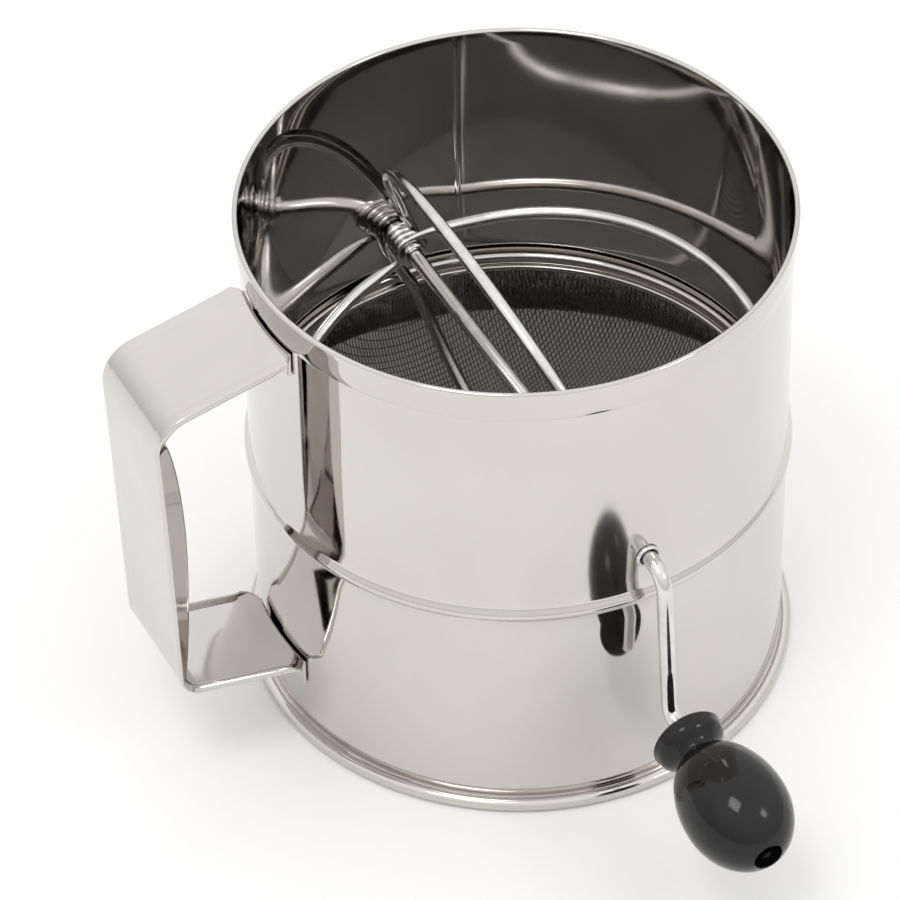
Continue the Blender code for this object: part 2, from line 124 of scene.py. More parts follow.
KNOB_START = 9.7 * MM
KNOB_LENGTH = 48.5 * MM
KNOB_RADIUS = 15.6 * MM
KNOB_WIDEST = 29.5 * MM
KNOB_COLLAR_RADIUS = 10.5 * MM
KNOB_NECK_RADIUS = 7.0 * MM
KNOB_NECK_Z = 8.8 * MM
KNOB_HOLE_RADIUS = 4.35 * MM
KNOB_HOLE_DEPTH = 8.5 * MM
PIN_END = 43.5 * MM
# The flared collar's outline: share of its radius, height in mm
KNOB_FLARE = (
    (1.0, 2.5), (1.0, 3.2), (0.975, 4.1), (0.93, 4.9), (0.87, 5.6), (0.8, 6.3), (0.735, 7.0), (0.69, 7.7),
)
MOULD_LINE = 0.05 * MM
MOULD_LINE_HALF = 0.22 * MM

HANDLE_WIDTH = 37.4 * MM
HANDLE_SHEET = 0.8 * MM
HANDLE_EDGE_DEPTH = 2.2 * MM
HANDLE_EDGE_BEND = 0.75 * MM
HANDLE_PLAIN_BEND = 0.25 * MM
HANDLE_EDGE_TIP = 0.95 * MM
GRIP_DEPTH = 8.4 * MM
GRIP_BEND = 1.1 * MM
HANDLE_TOP_Z = 152.9 * MM
HANDLE_TOP_SLOPE = radians(12)
HANDLE_LOW_Z = 30.6 * MM
HANDLE_LOW_SLOPE = radians(11)
HANDLE_TOP_REACH = 122.5 * MM
HANDLE_LOW_REACH = 119.6 * MM
HANDLE_TOP_BEND = 12.0 * MM
HANDLE_LOW_BEND = 8.0 * MM
FLANGE_LENGTH = 9.0 * MM
FLANGE_BEND = 1.1 * MM
WALL_GAP = 0.3 * MM
CREASE_IN = 3.9 * MM
CREASE_HALF = 0.45 * MM
CREASE_DEPTH = 0.07 * MM
# The grip's rolled sides: how far they lean in, how wide a strip that moves, how far up the bend they start
EDGE_LEAN = 5.2 * MM
LEAN_REACH = 14.0 * MM
SWELL_EARLY = 9.0 * MM
# Lengths of strap from each end: the flange's narrower width ends, and the rolled edges begin
FLANGE_SHARE = 0.8
FLANGE_NARROW = (9 * MM, 10.5 * MM)
EDGES_ROLLED = (12.5 * MM, 15 * MM)
STRAP_SAG = 0.25 * MM
STRAP_WANDER = 0.09 * MM
WELD_RADIUS = 1.7 * MM
WELD_SPACING = 11.5 * MM
# A weld's dimple with its raised edge: share of its radius, height in mm
WELD_OUTLINE = (
    (0, 0), (1, 0), (0.98, 0.1), (0.86, 0.24), (0.72, 0.26), (0.55, 0.16), (0.3, 0.09), (0, 0.08),
)

CAMERA_TURN = radians(27.2)
CAMERA_DISTANCE = 1558.2 * MM
# Elevation, then pan, pitch and roll of the view, in degrees
CAMERA_ANGLES = (44.97, 0.763, 1.858, 0.494)
CAMERA_LENS = 204.04

# ---------------------------------------------------------------- places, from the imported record

JOINTS = {joint["name"]: joint for joint in frame["joints"]}
SHAFT = Vector(JOINTS["crank_spin"]["pos_m"])
CAN = Matrix.Translation((SHAFT.x, SHAFT.y, 0))
CRANK = Matrix.Translation(SHAFT)
KNOB = Matrix.Translation(JOINTS["knob_spin"]["pos_m"]) @ Matrix.Rotation(pi / 2 + PIN_DROOP, 4, "X")
SHAFT_Z = SHAFT.z


# ---------------------------------------------------------------- mesh helpers

def added(name, data):
    """A new object in the scene."""
    obj = bpy.data.objects.new(name, data)
    bpy.context.scene.collection.objects.link(obj)
    return obj


def facing_out(name, shape):
    """A mesh of these points and faces, its faces turned outward."""
    verts, faces = shape
    mesh = bpy.data.meshes.new(name)
    mesh.from_pydata([tuple(v) for v in verts], [], [tuple(f) for f in faces])
    work = bmesh.new()
    work.from_mesh(mesh)
    bmesh.ops.recalc_face_normals(work, faces=work.faces)
    work.to_mesh(mesh)
    work.free()
    return mesh


def piece(name, shape, finish, place, body, nodes=(), angle=50):
    """One finished piece: its mesh, material, body and the solids it stands for. Angle None: none sharp."""
    mesh = facing_out(name, shape)
    mesh.shade_smooth()
    if angle:
        mesh.set_sharp_from_angle(angle=radians(angle))
    mesh.materials.append(finish)
    obj = added(name, mesh)
    obj.matrix_world = place
    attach(obj, body)
    if nodes:
        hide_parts(*nodes)
    return obj


def arc(centre, radius, start, end, pieces):
    angles = [start + (end - start) * i / pieces for i in range(pieces + 1)]
    return [(centre[0] + radius * cos(a), centre[1] + radius * sin(a)) for a in angles]


def turned(outline, segments, shift=None, extra=()):
    """A closed outline of (radius, z) turned about Z, with extra columns; shift(index, angle) moves out."""
    verts = []
    angles = sorted([2 * pi * s / segments for s in range(segments)] + [a % (2 * pi) for a in extra])
    segments = len(angles)
    for i, (r, z) in enumerate(outline):
        for a in angles:
            here = r + (shift(i, a) if shift else 0)
            verts.append((here * cos(a), here * sin(a), z))
    faces = []
    count = len(outline)
    for i in range(count):
        low = i * segments
        high = (i + 1) % count * segments
        for s in range(segments):
            n = (s + 1) % segments
            faces.append((low + s, low + n, high + n, high + s))
    return verts, faces


def domed(outline, segments):
    """An outline of (radius, z) whose two ends lie on the axis, turned about Z."""
    verts = [(0, 0, outline[0][1])]
    faces = []
    rows = outline[1:-1]
    turns = [2 * pi * s / segments for s in range(segments)]
    for r, z in rows:
        verts += [(r * cos(a), r * sin(a), z) for a in turns]
    verts.append((0, 0, outline[-1][1]))
    for s in range(segments):
        n = (s + 1) % segments
        faces.append((0, 1 + s, 1 + n))
        for i in range(len(rows) - 1):
            low = 1 + i * segments
            high = low + segments
            faces.append((low + s, low + n, high + n, high + s))
        base = 1 + (len(rows) - 1) * segments
        faces.append((base + s, base + n, len(verts) - 1))
    return verts, faces


def skinned(rings):
    """A solid through equal rings of points, capped at both ends."""
    count = len(rings[0])
    verts = [v for ring in rings for v in ring]
    faces = [tuple(range(count)), tuple(range(len(verts) - count, len(verts)))]
    for r in range(len(rings) - 1):
        low, high = r * count, (r + 1) * count
        for i in range(count):
            j = (i + 1) % count
            faces.append((low + i, low + j, high + j, high + i))
    return verts, faces


def oval(centre, side_a, side_b, sides):
    turns = [2 * pi * i / sides for i in range(sides)]
    return [centre + side_a * cos(a) + side_b * sin(a) for a in turns]


def filleted(corners, radii, pieces):
    """(point, direction) pairs along a path whose inner corners are rounded."""
    corners = [Vector(c) for c in corners]
    path = [(corners[0], (corners[1] - corners[0]).normalized())]
    for before, corner, after, radius, count in zip(corners, corners[1:], corners[2:], radii, pieces):
        back = (before - corner).normalized()
        ahead = (after - corner).normalized()
        half = back.angle(ahead) / 2
        centre = corner + (back + ahead).normalized() * (radius / sin(half))
        first = corner + back * (radius / tan(half)) - centre
        last = corner + ahead * (radius / tan(half)) - centre
        turn = first.angle(last)
        for i in range(count + 1):
            t = turn * i / count
            point = centre + (first * sin(turn - t) + last * sin(t)) / sin(turn)
            path.append((point, (last * cos(t) - first * cos(turn - t)).normalized()))
    path.append((corners[-1], (corners[-1] - corners[-2]).normalized()))
    return path


def divided(path, spacing):
    """The same path with long straight stretches broken up."""
    dense = [path[0]]
    for (start, _), (end, ahead) in zip(path, path[1:]):
        steps = max(1, ceil((end - start).length / spacing))
        for i in range(1, steps):
            dense.append((start.lerp(end, i / steps), (end - start).normalized()))
        dense.append((end, ahead))
    return dense


def smoothstep(low, high, value):
    t = min(max((value - low) / (high - low), 0), 1)
    return t * t * (3 - 2 * t)


def wander(x, y, seed):
    """A smooth wandering value from about -1 to 1, from a few waves at odd angles."""
    total = 0
    for i in range(5):
        turn = 2.399 * i + seed
        total += sin((x * cos(turn) + y * sin(turn)) * (1 + 0.37 * i) + seed * (3.1 + 1.7 * i))
    return total / 3


# ---------------------------------------------------------------- materials

def shader_of(name, base, roughness, metallic):
    mat = bpy.data.materials.new(name)
    mat.use_nodes = True
    shader = mat.node_tree.nodes["Principled BSDF"]
    shader.inputs["Base Color"].default_value = (*base, 1)
    shader.inputs["Roughness"].default_value = roughness
    shader.inputs["Metallic"].default_value = metallic
    return mat, mat.node_tree, shader


def noise(tree, scale, detail=2.0, stretch=(1, 1, 1), distortion=0.0):
    coords = tree.nodes.new("ShaderNodeTexCoord")
    mapping = tree.nodes.new("ShaderNodeMapping")
    mapping.inputs["Scale"].default_value = stretch
    texture = tree.nodes.new("ShaderNodeTexNoise")
    texture.inputs["Scale"].default_value = scale
    texture.inputs["Detail"].default_value = detail
    texture.inputs["Distortion"].default_value = distortion
    tree.links.new(coords.outputs["Object"], mapping.inputs["Vector"])
    tree.links.new(mapping.outputs["Vector"], texture.inputs["Vector"])
    return texture.outputs["Fac"]


def spread(tree, value, low, high, source_low=0.3, source_high=0.7):
    """The value's middle range spread from low to high."""
    node = tree.nodes.new("ShaderNodeMapRange")
    node.inputs["From Min"].default_value = source_low
    node.inputs["From Max"].default_value = source_high
    node.inputs["To Min"].default_value = low
    node.inputs["To Max"].default_value = high
    tree.links.new(value, node.inputs["Value"])
    return node.outputs["Result"]


def tint(tree, value, first, second):
    """A colour that runs from first to second with the value."""
    ramp = tree.nodes.new("ShaderNodeValToRGB")
    ramp.color_ramp.elements[0].position = 0.3
    ramp.color_ramp.elements[1].position = 0.7
    ramp.color_ramp.elements[0].color = (*first, 1)
    ramp.color_ramp.elements[1].color = (*second, 1)
    tree.links.new(value, ramp.inputs["Fac"])
    return ramp.outputs["Color"]


def bumped(tree, shader, layers):
    """Bump from (value, depth in metres) layers, one over another."""
    normal = None
    for value, depth in layers:
        bump = tree.nodes.new("ShaderNodeBump")
        bump.inputs["Strength"].default_value = 1.0
        bump.inputs["Distance"].default_value = depth
        tree.links.new(value, bump.inputs["Height"])
        if normal:
            tree.links.new(normal, bump.inputs["Normal"])
        normal = bump.outputs["Normal"]
    tree.links.new(normal, shader.inputs["Normal"])


def polished_steel(name, smudge, waves):
    """Mirror-polished sheet: faint smudges, fine wipe marks and the slow waves of worked sheet."""
    clean, smudged = (0.65, 0.624, 0.6), (0.605, 0.579, 0.555)
    mat, tree, shader = shader_of(name, clean, 0.03, 1.0)
    blotch = noise(tree, smudge, 4, distortion=0.6)
    tree.links.new(tint(tree, blotch, smudged, clean), shader.inputs["Base Color"])
    tree.links.new(spread(tree, blotch, 0.1, 0.03), shader.inputs["Roughness"])
    bumped(tree, shader, [(noise(tree, 26, 1), waves), (noise(tree, 2400, 2), 0.0000012)])
    return mat


def drawn_wire(name, base, low, high):
    """Bright drawn wire or rod: faint darker marks and a fine drawn grain."""
    mat, tree, shader = shader_of(name, base, low, 1.0)
    mark = noise(tree, 180, 5)
    dark = [0.82 * c for c in base]
    tree.links.new(tint(tree, mark, dark, base), shader.inputs["Base Color"])
    tree.links.new(spread(tree, noise(tree, 900, 3), low, high), shader.inputs["Roughness"])
    bumped(tree, shader, [(noise(tree, 1500, 3), 0.000006)])
    return mat


def cloth_wire():
    """The fine wire of the cloth: its colour darkened far below bright steel as painted shade for the shaded,
    see-through cloth, with faint random marks.
    """
    # Very dark base colour for steel wire: painted shade, not the wire's own tone
    mat, tree, shader = shader_of("woven_wire", (0.14, 0.13, 0.118), 0.32, 1.0)
    mark = noise(tree, 60, 5)
    tree.links.new(tint(tree, mark, (0.11, 0.101, 0.092), (0.175, 0.163, 0.148)), shader.inputs["Base Color"])
    tree.links.new(spread(tree, noise(tree, 2500, 2), 0.26, 0.42), shader.inputs["Roughness"])
    return mat


def knob_plastic():
    """Glossy moulded plastic: a faint pebble in the gloss, softer where hands hold it."""
    mat, tree, shader = shader_of("knob_plastic", (0.006, 0.0055, 0.0055), 0.1, 0.0)
    shader.inputs["Specular IOR Level"].default_value = 0.36
    worn = noise(tree, 70, 4)
    colour = tint(tree, worn, (0.004, 0.0037, 0.0037), (0.009, 0.0084, 0.0084))
    tree.links.new(colour, shader.inputs["Base Color"])
    tree.links.new(spread(tree, worn, 0.06, 0.14), shader.inputs["Roughness"])
    bumped(tree, shader, [(noise(tree, 320, 2), 0.00006), (noise(tree, 3000, 3), 0.000004)])
    return mat


STEEL = polished_steel("polished_sheet", 22, 0.00012)
STRAP = polished_steel("polished_strap", 30, 0.00028)
ROD = drawn_wire("bright_rod", (0.74, 0.735, 0.73), 0.05, 0.14)
WIRE = drawn_wire("bright_wire", (0.76, 0.755, 0.75), 0.07, 0.2)
CLOTH = cloth_wire()
PLASTIC = knob_plastic()


# ---------------------------------------------------------------- can

def bead_wave(radius, pieces):
    """The bead's swell, up a wall of this radius."""
    points = []
    for i in range(pieces + 1):
        part = 2 * i / pieces - 1
        points.append((radius + BEAD_PROUD * cos(part * pi / 2) ** 2, BEAD_Z + BEAD_HALF_WIDTH * part))
    return points


def rise(radius, start, end, spacing=4.5 * MM):
    """Points up or down a wall, both ends left out."""
    steps = ceil(abs(end - start) / spacing)
    return [(radius, start + (end - start) * i / steps) for i in range(1, steps)]


def shell_outline():
    """(section points, side of each): "in" or "out" on the walls, "hem" on the rim hem and "" on curls."""
    inner = BODY_RADIUS - SHEET
    roll = (SHEET + HEM_PROUD_TOP) / 2
    hem_face = BODY_RADIUS + HEM_PROUD_LOW
    hem_low = BODY_HEIGHT - HEM_HEIGHT
    curl = (CURL_CENTRE_R, CURL_RADIUS)
    outer_meet = acos((BODY_RADIUS + CREVICE - CURL_CENTRE_R) / CURL_RADIUS)
    inner_meet = acos((inner - CURL_CENTRE_R) / CURL_RADIUS)
    wall_foot = curl[1] + CURL_RADIUS * sin(outer_meet)
    inner_foot = curl[1] + CURL_RADIUS * sin(inner_meet - 2 * pi)
    low, high = BEAD_Z - BEAD_HALF_WIDTH, BEAD_Z + BEAD_HALF_WIDTH
    runs = [
        ("in", rise(inner, inner_foot, low)),
        ("in", bead_wave(inner, 16)),
        ("in", rise(inner, high, BODY_HEIGHT - roll)),
        ("", arc((inner + roll, BODY_HEIGHT - roll), roll, pi, 0, 18)),
        ("hem", [(hem_face + (HEM_PROUD_TOP - HEM_PROUD_LOW) * (1 - t / 4), BODY_HEIGHT - roll - 3 * MM * t)
                 for t in (0.5, 1, 1.7, 2.4)]),
        ("hem", arc((hem_face - HEM_CORNER, hem_low + HEM_CORNER), HEM_CORNER, 0, -pi / 2, 4)),
        ("out", [(BODY_RADIUS, hem_low)]),
        ("out", rise(BODY_RADIUS, hem_low, high)),
        ("out", bead_wave(BODY_RADIUS, 16)[::-1]),
        ("out", rise(BODY_RADIUS, low, wall_foot + 0.6 * MM)),
        ("", [(BODY_RADIUS, wall_foot + 0.5 * MM), (BODY_RADIUS - 0.25 * MM, wall_foot + 0.15 * MM)]),
        ("", arc(curl, CURL_RADIUS, outer_meet, inner_meet - 2 * pi, 30)),
    ]
    points, sides = [], []
    for side, run in runs:
        points += run
        sides += [side] * len(run)
    return points, sides


def turn_between(a, b):
    return (a - b + pi) % (2 * pi) - pi


def build_shell():
    points, sides = shell_outline()

    def shift(i, a):
        r, z = points[i]
        side = sides[i]
        move = WALL_WANDER * wander(a * 4.2, z * 55, 1.3) if side in ("in", "out") else 0
        if side == "out":
            move -= SEAM_STEP * ((a - OUTER_SEAM) % (2 * pi)) / (2 * pi)
        if side == "in":
            ridge = abs(turn_between(a, INNER_SEAM)) * r
            if z < RIDGE_TOP_Z:
                move -= RIDGE_HEIGHT * (1 - smoothstep(RIDGE_FLAT, RIDGE_FOOT, ridge))
        if side == "hem":
            past = abs(turn_between(a, HEM_GAP))
            move -= 0.55 * MM * (1 - smoothstep(0.003, 0.0065, past))
        return move

    seams = [seam + half for seam in (OUTER_SEAM, INNER_SEAM) for half in (-SEAM_HALF_TURN, SEAM_HALF_TURN)]
    seams += [INNER_SEAM + part * MM / BODY_RADIUS for part in RIDGE_COLUMNS]
    shape = turned(points, SHELL_SEGMENTS, shift, seams)
    shell = piece("can_shell", shape, STEEL, CAN, "can", ("body_shell",), 40)
    side, up = Vector((SHAFT_HOLE_RADIUS, 0, 0)), Vector((0, 0, SHAFT_HOLE_RADIUS))
    cutters = []
    for name, y in (("shaft_hole_front", -BODY_RADIUS), ("shaft_hole_rear", BODY_RADIUS)):
        ends = [Vector((0, y + reach, SHAFT_Z)) for reach in (-5 * MM, 5 * MM)]
        cutter = added(name, facing_out(name, skinned([oval(end, side, up, 40) for end in ends])))
        cutter.matrix_world = CAN
        cutters.append(cutter)
        cut = shell.modifiers.new(name, "BOOLEAN")
        cut.object = cutter
        cut.operation = "DIFFERENCE"
        cut.solver = "EXACT"
    bpy.context.view_layer.update()
    graph = bpy.context.evaluated_depsgraph_get()
    cut_mesh = bpy.data.meshes.new_from_object(shell.evaluated_get(graph), depsgraph=graph)
    shell.modifiers.clear()
    shell.data = cut_mesh
    for cutter in cutters:
        bpy.data.objects.remove(cutter)


def build_ring():
    """The ring that clamps the bowl, and the bowl's own turned edge under it."""
    outer = BODY_RADIUS - SHEET - 0.15 * MM
    high = RING_LOW_Z + RING_HEIGHT
    edge = RING_ROUND
    outline = arc((RING_INNER + edge, RING_LOW_Z + edge), edge, 1.5 * pi, pi, 8)
    outline += arc((RING_INNER + edge, high - edge), edge, pi, pi / 2, 8)
    outline += [(outer, high), (outer, RING_LOW_Z)]
    piece("screen_clamp_ring", turned(outline, 256), STEEL, CAN, "can", ("screen_ring",))
    rim_low, rim_high = BOWL_TOP_Z - 0.9 * MM, RING_LOW_Z - 0.25 * MM
    inside = BOWL_RADIUS - 1.1 * MM
    outline = arc((inside + 0.4 * MM, rim_low + 0.4 * MM), 0.4 * MM, 1.5 * pi, pi, 4)
    outline += [(inside, rim_high - 0.2 * MM), (inside + 0.2 * MM, rim_high)]
    wall = BODY_RADIUS - SHEET - 0.5 * MM
    outline += [(wall, rim_high), (wall, rim_low)]
    piece("screen_edge_band", turned(outline, 256), STEEL, CAN, "can")


def bowl_height(r):
    share = min(r / BOWL_RADIUS, 1)
    return BOWL_TOP_Z - (BOWL_TOP_Z - BOWL_LOW_Z) * sqrt(1 - share ** 2)


def build_cloth():
    """Plain weave: wires run each way over the bowl and pass over and under each other at every crossing."""
    reach = int(BOWL_RADIUS / CLOTH_PITCH)
    lift = 0.8 * CLOTH_WIRE
    for way, name in ((0, "woven_screen_warp"), (1, "woven_screen_weft")):
        verts, faces = [], []
        for i in range(-reach, reach + 1):
            across = i * CLOTH_PITCH
            half = sqrt(BOWL_RADIUS ** 2 - across ** 2)
            count = int(half / CLOTH_PITCH)
            if count < 2:
                continue
            stops = [(j * CLOTH_PITCH, j) for j in range(-count, count + 1)]
            edge = half * 0.9995
            if edge - stops[-1][0] > CLOTH_PITCH * 0.3:
                stops = [(-edge, -count - 1)] + stops + [(edge, count + 1)]
            line = []
            for along, j in stops:
                x, y = (along, across) if way == 0 else (across, along)
                r = hypot(x, y)
                z = bowl_height(r)
                share = min(r / BOWL_RADIUS, 0.9995)
                steep = (BOWL_TOP_Z - BOWL_LOW_Z) * share / sqrt(1 - share ** 2) / BOWL_RADIUS
                up = Vector((-x / max(r, 1e-9) * steep, -y / max(r, 1e-9) * steep, 1)).normalized()
                sign = 1 if (i + j + way) % 2 else -1
                line.append((Vector((x, y, z)) + up * lift * sign, up))
            start = len(verts)
            for k, (point, up) in enumerate(line):
                before = line[max(k - 1, 0)][0]
                after = line[min(k + 1, len(line) - 1)][0]
                ahead = (after - before).normalized()
                side = ahead.cross(up).normalized()
                top = side.cross(ahead).normalized()
                verts += [point + side * CLOTH_WIRE, point + top * CLOTH_WIRE]
                verts += [point - side * CLOTH_WIRE, point - top * CLOTH_WIRE]
            for k in range(len(line) - 1):
                low, high = start + 4 * k, start + 4 * k + 4
                for s in range(4):
                    n = (s + 1) % 4
                    faces.append((low + s, low + n, high + n, high + s))
            last = start + 4 * (len(line) - 1)
            faces.append((start + 3, start + 2, start + 1, start))
            faces.append((last, last + 1, last + 2, last + 3))
        piece(name, (verts, faces), CLOTH, CAN, "can", ("mesh_screen",), angle=None)


def build_bearings():
    """An eyelet in each wall, rolled over inside and out."""
    inside = -SHEET - 0.15 * MM
    lip = EYELET_LIP
    bore = BORE_RADIUS
    barrel = bore + 0.45 * MM
    flange = EYELET_RADIUS
    mid = (bore + flange) / 2
    outline = arc((mid, 0.12 * MM), mid - bore, pi, 0, 12)
    outline = [(r, 0.12 * MM + (z - 0.12 * MM) * lip / (mid - bore)) for r, z in outline]
    edge = flange - 0.1 * MM
    outline += [(edge, 0.1 * MM), (barrel, 0.1 * MM), (barrel, inside), (edge, inside)]
    back = arc((mid, 0), mid - bore, 0, -pi, 12)
    outline += [(r, inside - 0.02 * MM + z * lip / (mid - bore)) for r, z in back]
    for end, y, turn in (("front", -BODY_RADIUS, pi / 2), ("rear", BODY_RADIUS, -pi / 2)):
        place = CAN @ Matrix.Translation((0, y, SHAFT_Z)) @ Matrix.Rotation(turn, 4, "X")
        nodes = (f"bearing_{end}",)
        piece(f"shaft_eyelet_{end}", turned(outline, 64), ROD, place, "can", nodes)


# ---------------------------------------------------------------- crank and agitator

def pin_point(distance):
    """A point on the knob's pin, this far past the arm's lower corner."""
    corner = Vector((0, -ARM_REACH - ARM_DROP * tan(ARM_FLARE), -ARM_DROP))
    return corner + Vector((0, -cos(PIN_DROOP), -sin(PIN_DROOP))) * distance


def build_rod():
    """Shaft, arm and pin bent from one rod, with chamfered ends."""
    corners = [(0, SHAFT_REAR, 0), (0, -ARM_REACH, 0), pin_point(0), pin_point(KNOB_START + PIN_END)]
    path = divided(filleted(corners, (ARM_TOP_BEND, ARM_LOW_BEND), (16, 16)), 9 * MM)
    side = Vector((1, 0, 0))
    rings = []
    chamfer = [(0.0, 0.62), (0.18, 0.82), (0.45, 0.95), (0.8, 1.0)]
    first, start = path[0]
    last, end = path[-1]
    for depth, share in chamfer:
        rings.append((first + start * depth * MM, start, share))
    rings += [(point, ahead, 1.0) for point, ahead in path[1:-1]]
    for depth, share in chamfer[::-1]:
        rings.append((last - end * depth * MM, end, share))
    circles = [oval(p, side * ROD_RADIUS * s, side.cross(d) * ROD_RADIUS * s, 32) for p, d, s in rings]
    piece("crank_bent_rod", skinned(circles), ROD, CRANK, "crank", ("crank_rod",), 40)


def bow_path(number, shift):
    """Centre line of one bow: an eye curled round the shaft, the bow itself, and the other eye."""
    _, offset, depth = BOWS[number - 1]
    hand = 1 if offset > 0 else -1
    leg = ((EYE_RADIUS + BORE_RADIUS) / 2 + 0.05 * MM) * hand
    start = asin((LEG_START / depth) ** (BOW_POWER / 2))
    points = []
    for i in range(73):
        t = start + (pi - 2 * start) * i / 72
        out = depth * sin(t) ** (2 / BOW_POWER)
        along = abs(cos(t)) ** (2 / BOW_POWER) * (1 if cos(t) > 0 else -1)
        loose = smoothstep(EYE_RADIUS, EYE_RADIUS + LEG_BEND, out)
        centre = -shift * (EYE_PITCH + (BOW_PITCH - EYE_PITCH) * loose)
        points.append(Vector((out, centre - along * BOW_HALF_LENGTH, leg + (offset - leg) * loose)))
    ends = []
    for sign in (-1, 1):
        y = -shift * EYE_PITCH + sign * BOW_HALF_LENGTH
        curl = []
        for i in range(31):
            turn = hand * (pi / 2 + radians(352) * (1 - i / 30))
            curl.append(Vector((abs(leg) * cos(turn), y, abs(leg) * sin(turn))))
        ends.append(curl)
    return ends[0], points, ends[1][::-1]


def eased(first, second, count):
    """Points that carry a smooth bend from the end of one run of points to the start of another."""
    p0, p1 = first[-1], second[0]
    d0 = (first[-1] - first[-2]).normalized()
    d1 = (second[1] - second[0]).normalized()
    reach = (p1 - p0).length
    out = []
    for i in range(1, count):
        t = i / count
        h00, h10 = 2 * t ** 3 - 3 * t ** 2 + 1, t ** 3 - 2 * t ** 2 + t
        h01, h11 = -2 * t ** 3 + 3 * t ** 2, t ** 3 - t ** 2
        out.append(p0 * h00 + d0 * reach * h10 + p1 * h01 + d1 * reach * h11)
    return out


def build_bow(number, shift):
    """A bow of round wire that flattens into its eyes; shift counts eyes along the shaft from the middle."""
    front, middle, rear = bow_path(number, shift)
    line = front + eased(front, middle, 8) + middle + eased(middle, rear, 8) + rear
    side = Vector((1, 0, 0))
    rings = []
    for k, point in enumerate(line):
        before = line[max(k - 1, 0)]
        after = line[min(k + 1, len(line) - 1)]
        ahead = (after - before).normalized()
        reach = hypot(point.x, point.z)
        flat = 1 - smoothstep(EYE_RADIUS, EYE_RADIUS + 9 * MM, reach)
        shaftwise = Vector((0, 1, 0)) - ahead * ahead.y
        if shaftwise.length < 0.2:
            shaftwise = side
        shaftwise.normalize()
        if rings and shaftwise.dot(side) < 0:
            shaftwise.negate()
        side = shaftwise
        over = ahead.cross(shaftwise).normalized()
        half = EYE_THICKNESS / 2 - 0.02 * MM
        wide_eye = (EYE_RADIUS - BORE_RADIUS) / 2 - 0.03 * MM
        along = WIRE_RADIUS + (half - WIRE_RADIUS) * flat
        wide = WIRE_RADIUS + (wide_eye - WIRE_RADIUS) * flat
        rings.append((point, shaftwise * along, over * wide))
    name = f"agitator_bow_{number}"
    place = CRANK @ Matrix.Rotation(-BOWS[number - 1][0], 4, "Y")
    shape = skinned([oval(p, a, b, 20) for p, a, b in rings])
    piece(name, shape, WIRE, place, "crank", (f"agitator_wire_{number}",))


def build_agitator():
    for i in range(len(BOWS)):
        build_bow(i + 1, 1.5 - i)
    inner_eye = BOW_HALF_LENGTH - 1.5 * EYE_PITCH
    place_y = inner_eye - EYE_THICKNESS / 2 - COLLAR_GAP - COLLAR_LENGTH / 2
    half = COLLAR_LENGTH / 2
    edge = COLLAR_ROUND
    outline = [(BORE_RADIUS - 0.15 * MM, -half + 0.1 * MM), (BORE_RADIUS, -half)]
    outline += arc((COLLAR_RADIUS - edge, -half + edge), edge, -pi / 2, 0, 5)
    outline += arc((COLLAR_RADIUS - edge, half - edge), edge, 0, pi / 2, 5)
    outline += [(BORE_RADIUS, half), (BORE_RADIUS - 0.15 * MM, half - 0.1 * MM)]
    for end, y in (("front", -place_y), ("rear", place_y)):
        place = CRANK @ Matrix.Translation((0, y, 0)) @ Matrix.Rotation(pi / 2, 4, "X")
        nodes = (f"collar_{end}",)
        piece(f"shaft_collar_{end}", turned(outline, 48), ROD, place, "crank", nodes)


# ---------------------------------------------------------------- knob

def build_knob():
    """The knob, with its flared collar and end hole, and the push nut in that hole."""
    floor_z = KNOB_LENGTH - KNOB_HOLE_DEPTH
    big = KNOB_COLLAR_RADIUS
    points = [(BORE_RADIUS, 0.0)]
    points += arc((big * 0.9, 1.6 * MM), 1.6 * MM, -pi / 2, -0.45, 6)
    points += [(min(big * share, big), height * MM) for share, height in KNOB_FLARE]
    points += [(KNOB_NECK_RADIUS, 8.2 * MM)]
    end = KNOB_LENGTH - 0.25 * MM
    rear_half = (KNOB_WIDEST - KNOB_NECK_Z) / sqrt(1 - (KNOB_NECK_RADIUS / KNOB_RADIUS) ** 2)
    tip_radius = KNOB_HOLE_RADIUS + 0.6 * MM
    front_half = (end - KNOB_WIDEST) / sqrt(1 - (tip_radius / KNOB_RADIUS) ** 2)
    first = -asin((KNOB_WIDEST - KNOB_NECK_Z) / rear_half)
    last = asin((end - KNOB_WIDEST) / front_half)
    for i in range(49):
        turn = first + (last - first) * i / 48
        reach = rear_half if turn < 0 else front_half
        points.append((KNOB_RADIUS * cos(turn), KNOB_WIDEST + reach * sin(turn)))
    points += [(KNOB_HOLE_RADIUS + 0.25 * MM, KNOB_LENGTH - 0.02 * MM), (KNOB_HOLE_RADIUS, end)]
    points += rise(KNOB_HOLE_RADIUS, end, floor_z, 2 * MM)
    points += [(KNOB_HOLE_RADIUS, floor_z), (BORE_RADIUS, floor_z)]

    def shift(i, a):
        """The faint line where the mould's halves met."""
        r, z = points[i]
        if r < KNOB_NECK_RADIUS * 0.9 or z < 0.2 * MM:
            return 0
        off = min(abs(turn_between(a, radians(35))), abs(turn_between(a, radians(215)))) * r
        return MOULD_LINE * exp(-((off / MOULD_LINE_HALF) ** 2))

    verts, faces = turned(points, 288, shift)
    tilt = KNOB.to_3x3()
    shape = [tilt @ Vector(v) for v in verts], faces
    at_knob = Matrix.Translation(KNOB.to_translation())
    piece("crank_knob", shape, PLASTIC, at_knob, "knob", ("knob",), 40)
    low = floor_z + 0.3 * MM
    rim = KNOB_HOLE_RADIUS - 0.3 * MM
    outline = [(BORE_RADIUS - 0.1 * MM, low), (rim, low)]
    outline += arc((rim - 0.3 * MM, low + 0.35 * MM), 0.3 * MM, 0, pi / 2, 5)
    outline += [(BORE_RADIUS - 0.1 * MM, low + 0.95 * MM)]
    piece("knob_push_nut", turned(outline, 48), WIRE, KNOB, "crank", ("knob_retainer",), 40)


